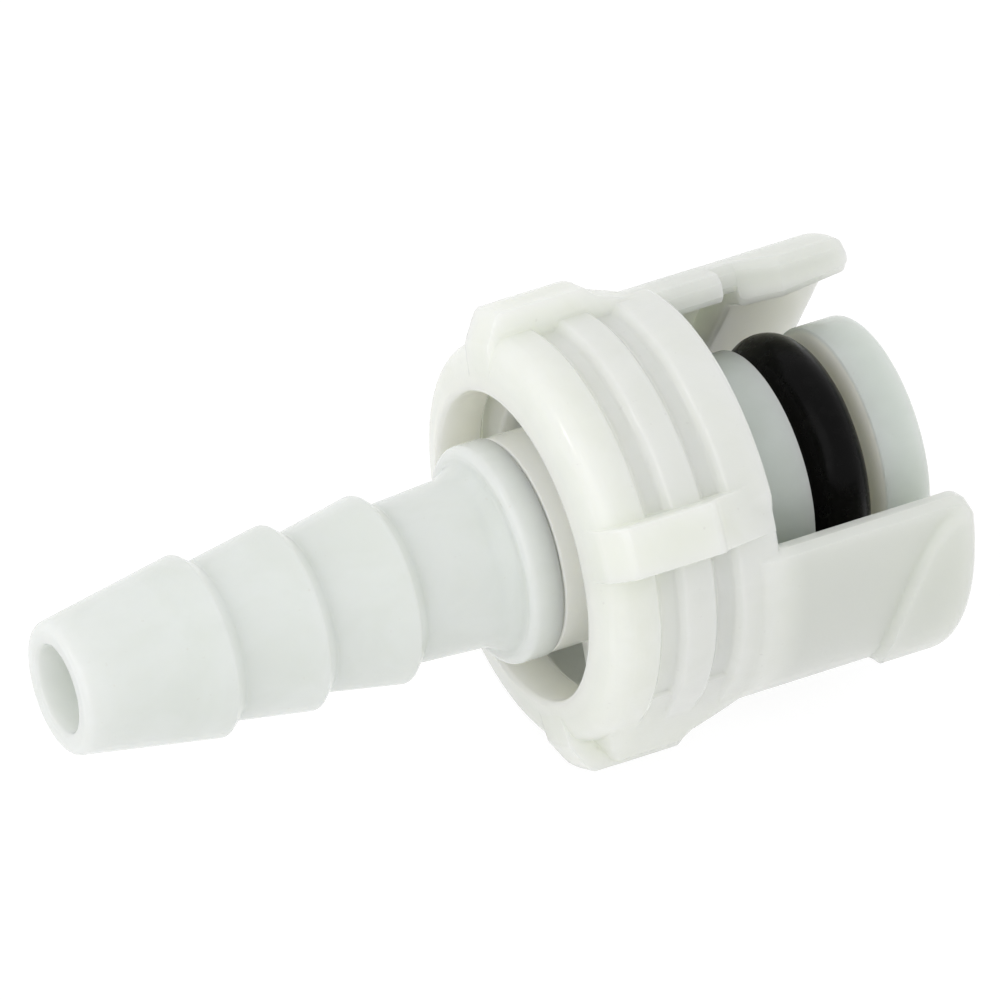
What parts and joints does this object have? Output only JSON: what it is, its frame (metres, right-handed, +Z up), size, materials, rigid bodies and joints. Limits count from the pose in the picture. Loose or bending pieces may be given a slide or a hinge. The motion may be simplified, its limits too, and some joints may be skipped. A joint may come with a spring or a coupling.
{
  "type": "quick disconnect coupling insert",
  "caption": "Hose-barb coupling insert: a barbed stem and an O-ring probe with a sprung poppet, in a squeeze latch collar with hooked arms.",
  "frame": {"origin": "on the flow axis, at the mouth of the hose barb", "axes": "+X along the flow axis from the hose barb to the probe, +Z up through the middle of one squeeze grip, with the part lying on the other grip"},
  "size_m": [0.0518, 0.0245, 0.0246],
  "materials": {
    "body_plastic": "natural polypropylene, moulded, satin",
    "probe_plastic": "natural polypropylene, moulded, satin",
    "collar_plastic": "natural polypropylene, moulded, satin",
    "valve_plastic": "natural polypropylene, moulded, satin",
    "seal_rubber": "black synthetic rubber, moulded, slight sheen",
    "spring_steel": "stainless steel spring wire, drawn"
  },
  "bodies": {
    "body": {"hose_stem": "body_plastic", "probe_housing": "probe_plastic", "probe_seal": "seal_rubber", "valve_spring": "spring_steel"},
    "poppet": {"valve_poppet": "valve_plastic", "poppet_seal": "seal_rubber"},
    "collar": {"latch_collar": "collar_plastic"}
  },
  "joints": [
    {"name": "poppet_slide", "type": "slide", "parent": "body", "child": "poppet", "axis": [-1, 0, 0], "range_m": [0, 0.003], "stiffness_N_per_m": 400, "springref_m": -0.003, "deforming": ["valve_spring"]},
    {"name": "collar_turn", "type": "hinge", "parent": "body", "child": "collar", "pos_m": [0.031, 0, 0], "axis": [1, 0, 0], "continuous": true}
  ]
}
